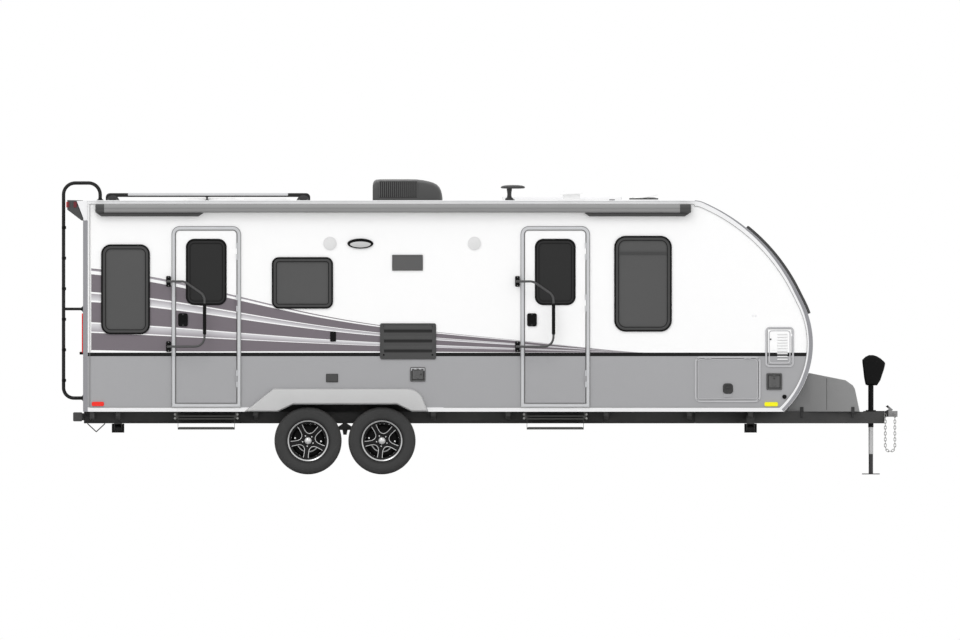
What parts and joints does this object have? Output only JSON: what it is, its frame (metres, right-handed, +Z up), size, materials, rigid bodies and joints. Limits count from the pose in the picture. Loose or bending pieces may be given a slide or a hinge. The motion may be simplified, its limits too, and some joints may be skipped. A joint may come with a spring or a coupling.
{
  "type": "travel caravan",
  "caption": "Long travel caravan with a curved nose, paired axles, entry doors, roof fittings, drawbar with coupler and jack.",
  "frame": {"origin": "on the ground under the middle of the caravan's bounding box", "axes": "+X forward to the coupler, +Y to the left side, +Z up"},
  "size_m": [8.943, 2.6609, 3.159],
  "materials": {
    "wall_panel": "smooth white laminated panel",
    "roof_skin": "white roof membrane",
    "edge_metal": "white and grey extruded moulding",
    "fender_grey": "moulded light grey plastic",
    "frame_black": "black window frame",
    "dark_glass": "dark tinted pane",
    "chassis_black": "black painted steel",
    "awning_grey": "satin grey case",
    "dark_plastic": "dark grey moulded plastic",
    "white_plastic": "white moulded plastic",
    "solar_cell": "dark framed panel",
    "tube_black": "black powder coated tube",
    "lamp_red": "red and amber lens",
    "door_skin": "white over grey door skin",
    "floor_deck": "laminated deck with a dark belly skin",
    "step_metal": "ribbed step metal",
    "jack_silver": "plated tube",
    "zinc": "zinc plated steel",
    "tyre": "black rubber",
    "alloy": "black alloy with machined faces",
    "cover_grey": "moulded grey cover"
  },
  "bodies": {
    "caravan": {"chassis_rails": "chassis_black", "cross_members": "chassis_black", "drawbar": "chassis_black", "coupler": "chassis_black", "running_gear": "chassis_black", "floor": "floor_deck", "side_wall_right": "wall_panel", "side_wall_left": "wall_panel", "nose_cap": "wall_panel", "roof": "roof_skin", "rear_wall": "wall_panel", "edge_trim": "edge_metal", "fenders": "fender_grey", "window_frames": "frame_black", "window_glass": "dark_glass", "awning_case": "awning_grey", "awning_arms": "dark_plastic", "roof_rack": "tube_black", "air_conditioner": "dark_plastic", "antenna": "dark_plastic", "solar_panel": "solar_cell", "roof_vents": "white_plastic", "ladder": "tube_black", "rear_spoiler": "dark_plastic", "lamps": "lamp_red", "bumper": "chassis_black", "side_vents": "dark_plastic", "side_fittings": "white_plastic", "tongue_cover": "cover_grey", "jack_body": "dark_plastic", "safety_chains": "zinc", "door_frames": "edge_metal", "hatch_frames": "edge_metal", "step_brackets": "step_metal"},
    "jack_leg": {"jack_leg": "jack_silver"},
    "wheel_right_rear": {"tyre_right_rear": "tyre", "rim_right_rear": "alloy"},
    "wheel_right_front": {"tyre_right_front": "tyre", "rim_right_front": "alloy"},
    "wheel_left_rear": {"tyre_left_rear": "tyre", "rim_left_rear": "alloy"},
    "wheel_left_front": {"tyre_left_front": "tyre", "rim_left_front": "alloy"},
    "door_rear": {"door_rear": "door_skin", "door_rear_window": "dark_glass"},
    "grab_handle_rear": {"grab_handle_rear": "tube_black"},
    "door_front": {"door_front": "door_skin", "door_front_window": "dark_glass"},
    "grab_handle_front": {"grab_handle_front": "tube_black"},
    "baggage_door": {"baggage_door": "door_skin"},
    "vented_hatch": {"vented_hatch": "door_skin"},
    "middle_hatch": {"middle_hatch": "door_skin"},
    "nose_hatch": {"nose_hatch": "door_skin"},
    "step_rear": {"step_rear": "step_metal"},
    "step_front": {"step_front": "step_metal"},
    "stabiliser_right_rear": {"stabiliser_right_rear": "zinc"},
    "stabiliser_right_front": {"stabiliser_right_front": "zinc"},
    "stabiliser_left_rear": {"stabiliser_left_rear": "zinc"},
    "stabiliser_left_front": {"stabiliser_left_front": "zinc"}
  },
  "joints": [
    {"name": "wheel_right_rear_spin", "type": "hinge", "parent": "caravan", "child": "wheel_right_rear", "pos_m": [-1.84, -1.122, 0.36], "axis": [0, 1, 0], "continuous": true},
    {"name": "wheel_right_front_spin", "type": "hinge", "parent": "caravan", "child": "wheel_right_front", "pos_m": [-1.049, -1.122, 0.36], "axis": [0, 1, 0], "continuous": true},
    {"name": "wheel_left_rear_spin", "type": "hinge", "parent": "caravan", "child": "wheel_left_rear", "pos_m": [-1.84, 1.122, 0.36], "axis": [0, 1, 0], "continuous": true},
    {"name": "wheel_left_front_spin", "type": "hinge", "parent": "caravan", "child": "wheel_left_front", "pos_m": [-1.049, 1.122, 0.36], "axis": [0, 1, 0], "continuous": true},
    {"name": "door_rear_hinge", "type": "hinge", "parent": "caravan", "child": "door_rear", "pos_m": [-2.6035, -1.24, 1.6], "axis": [0, 0, 1], "range_deg": [0, 85]},
    {"name": "grab_handle_rear_hinge", "type": "hinge", "parent": "caravan", "child": "grab_handle_rear", "pos_m": [-3.341, -1.295, 1.716], "axis": [0, 0, 1], "range_deg": [-170, 0]},
    {"name": "door_front_hinge", "type": "hinge", "parent": "caravan", "child": "door_front", "pos_m": [1.1305, -1.24, 1.6], "axis": [0, 0, 1], "range_deg": [0, 85]},
    {"name": "grab_handle_front_hinge", "type": "hinge", "parent": "caravan", "child": "grab_handle_front", "pos_m": [0.393, -1.295, 1.716], "axis": [0, 0, 1], "range_deg": [-170, 0]},
    {"name": "baggage_door_hinge", "type": "hinge", "parent": "caravan", "child": "baggage_door", "pos_m": [2.651, -1.232, 1.241], "axis": [-1, 0, 0], "range_deg": [0, 95]},
    {"name": "vented_hatch_hinge", "type": "hinge", "parent": "caravan", "child": "vented_hatch", "pos_m": [3.3365, -1.232, 1.364], "axis": [0, 0, 1], "range_deg": [0, 100]},
    {"name": "middle_hatch_hinge", "type": "hinge", "parent": "caravan", "child": "middle_hatch", "pos_m": [-0.666, -1.232, 1.1265], "axis": [-1, 0, 0], "range_deg": [0, 95]},
    {"name": "nose_hatch_hinge", "type": "hinge", "parent": "caravan", "child": "nose_hatch", "pos_m": [3.148, -1.232, 1.0605], "axis": [-1, 0, 0], "range_deg": [0, 95]},
    {"name": "step_rear_slide", "type": "slide", "parent": "caravan", "child": "step_rear", "axis": [0, -1, 0], "range_m": [0, 0.24]},
    {"name": "step_front_slide", "type": "slide", "parent": "caravan", "child": "step_front", "axis": [0, -1, 0], "range_m": [0, 0.24]},
    {"name": "stabiliser_right_rear_hinge", "type": "hinge", "parent": "caravan", "child": "stabiliser_right_rear", "pos_m": [-3.873, -0.83, 0.495], "axis": [-1, 0, 0], "range_deg": [0, 80]},
    {"name": "stabiliser_right_front_hinge", "type": "hinge", "parent": "caravan", "child": "stabiliser_right_front", "pos_m": [2.895, -0.83, 0.495], "axis": [-1, 0, 0], "range_deg": [0, 80]},
    {"name": "stabiliser_left_rear_hinge", "type": "hinge", "parent": "caravan", "child": "stabiliser_left_rear", "pos_m": [-3.873, 0.83, 0.495], "axis": [1, 0, 0], "range_deg": [0, 80]},
    {"name": "stabiliser_left_front_hinge", "type": "hinge", "parent": "caravan", "child": "stabiliser_left_front", "pos_m": [2.895, 0.83, 0.495], "axis": [1, 0, 0], "range_deg": [0, 80]},
    {"name": "jack_leg_slide", "type": "slide", "parent": "caravan", "child": "jack_leg", "axis": [0, 0, 1], "range_m": [0, 0.34]}
  ],
  "couplings": [
    {"joint": "grab_handle_rear_hinge", "follows": "door_rear_hinge", "ratio": -2},
    {"joint": "grab_handle_front_hinge", "follows": "door_front_hinge", "ratio": -2}
  ]
}
